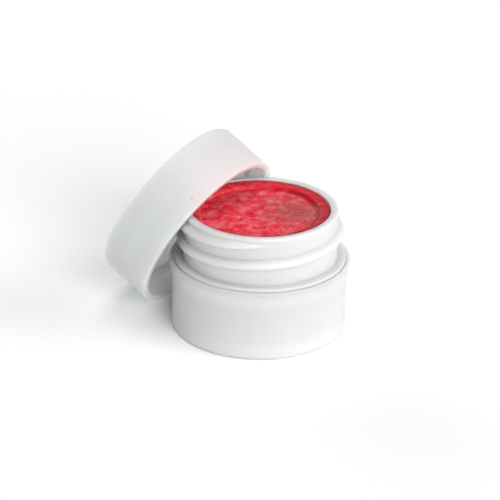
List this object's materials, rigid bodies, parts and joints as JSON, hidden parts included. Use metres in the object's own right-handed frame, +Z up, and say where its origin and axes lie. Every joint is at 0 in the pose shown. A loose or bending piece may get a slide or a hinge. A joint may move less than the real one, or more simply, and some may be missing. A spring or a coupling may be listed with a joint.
{
  "type": "paint jar",
  "caption": "Round screw-top jar of thick paint, open, with a threaded neck and a plain lid that leans against the lip.",
  "frame": {"origin": "centre of the jar's foot ring, on the table that it stands on", "axes": "+Z up along the jar's axis; the lid leans on the -X side with its open end facing +X and down"},
  "size_m": [0.0545, 0.0404, 0.0415],
  "materials": {
    "white_polypropylene": "satin, moulded",
    "white_polypropylene_cup": "satin, moulded",
    "white_polypropylene_lid": "satin, moulded",
    "foam_liner": "closed-cell foam",
    "red_paint": "wet gloss with fine glitter"
  },
  "bodies": {
    "jar": {"outer_shell": "white_polypropylene", "inner_cup": "white_polypropylene_cup", "paint": "red_paint"},
    "lid_liner": {"liner": "foam_liner"},
    "lid": {"lid": "white_polypropylene_lid"}
  },
  "joints": [
    {"name": "lid_lift", "type": "slide", "parent": "jar", "child": "lid_liner", "axis": [0, 0, 1], "range_m": [0, 0.03]},
    {"name": "lid_turn", "type": "hinge", "parent": "lid_liner", "child": "lid", "pos_m": [-0.01424, 0, 0.01802], "axis": [-0.8854, 0, 0.4648], "continuous": true}
  ]
}
